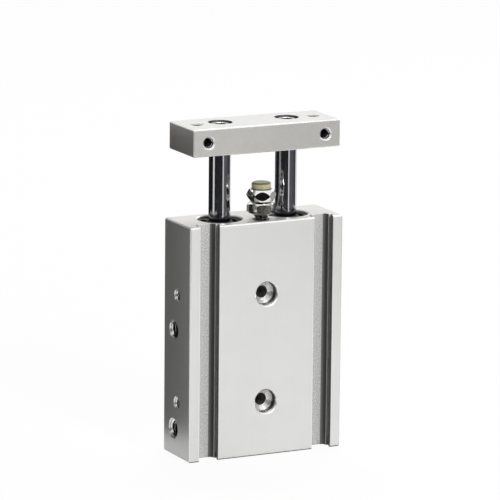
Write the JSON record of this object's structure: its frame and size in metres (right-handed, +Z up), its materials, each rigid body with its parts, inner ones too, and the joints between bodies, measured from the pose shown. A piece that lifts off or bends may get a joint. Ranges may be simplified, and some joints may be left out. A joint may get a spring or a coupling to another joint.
{
  "type": "guided pneumatic cylinder",
  "caption": "Compact twin-rod air cylinder: flat block with sensor grooves and ports, two rods joined by an end plate, and an adjustable bumper stop between them.",
  "frame": {"origin": "centre of the housing's bottom face", "axes": "+Z up along the rods towards the end plate, +X across the two bores away from the open ports, +Y from the grooved front to the plain back"},
  "size_m": [0.046, 0.0164, 0.0915],
  "materials": {
    "housing_alloy": "clear satin anodised extrusion",
    "plate_alloy": "clear anodised, slightly warmer",
    "cover_alloy": "turned bearing alloy",
    "hard_chrome": "ground hard chrome on steel",
    "bright_steel": "nickel-plated steel",
    "black_steel": "phosphated spring steel",
    "black_rubber": "nitrile rubber and urethane",
    "amber_urethane": "soft amber urethane",
    "magnet": "plastic-bonded magnet"
  },
  "bodies": {
    "cylinder": {"housing": "housing_alloy", "rod_cover_left": "cover_alloy", "rod_cover_right": "cover_alloy", "head_cover_left": "cover_alloy", "head_cover_right": "cover_alloy", "port_plug_lower": "bright_steel", "port_plug_upper": "bright_steel", "seal_retainer_left": "black_steel", "seal_retainer_right": "black_steel", "rod_end_ring_left": "black_steel", "rod_end_ring_right": "black_steel", "head_end_ring_left": "black_steel", "head_end_ring_right": "black_steel", "rod_cover_oring_left": "black_rubber", "rod_cover_oring_right": "black_rubber", "rod_seal_left": "black_rubber", "rod_seal_right": "black_rubber", "head_cover_oring_left": "black_rubber", "head_cover_oring_right": "black_rubber"},
    "rods": {"end_plate": "plate_alloy", "piston_rod_left": "hard_chrome", "piston_rod_right": "hard_chrome", "rod_screw_left": "bright_steel", "rod_screw_right": "bright_steel", "piston_left": "cover_alloy", "piston_right": "cover_alloy", "piston_seal_left": "black_rubber", "piston_seal_right": "black_rubber", "piston_magnet_left": "magnet", "piston_magnet_right": "magnet", "rod_side_bumper_left": "black_rubber", "rod_side_bumper_right": "black_rubber", "head_side_bumper_left": "black_rubber", "head_side_bumper_right": "black_rubber"},
    "stop_adjuster": {"bumper_bolt": "bright_steel", "lock_nut": "bright_steel", "stop_bumper": "amber_urethane"}
  },
  "joints": [
    {"name": "rod_stroke", "type": "slide", "parent": "cylinder", "child": "rods", "axis": [0, 0, 1], "range_m": [-0.0087, 0]},
    {"name": "stop_adjust", "type": "slide", "parent": "cylinder", "child": "stop_adjuster", "axis": [0, 0, 1], "range_m": [-0.0015, 0]}
  ]
}
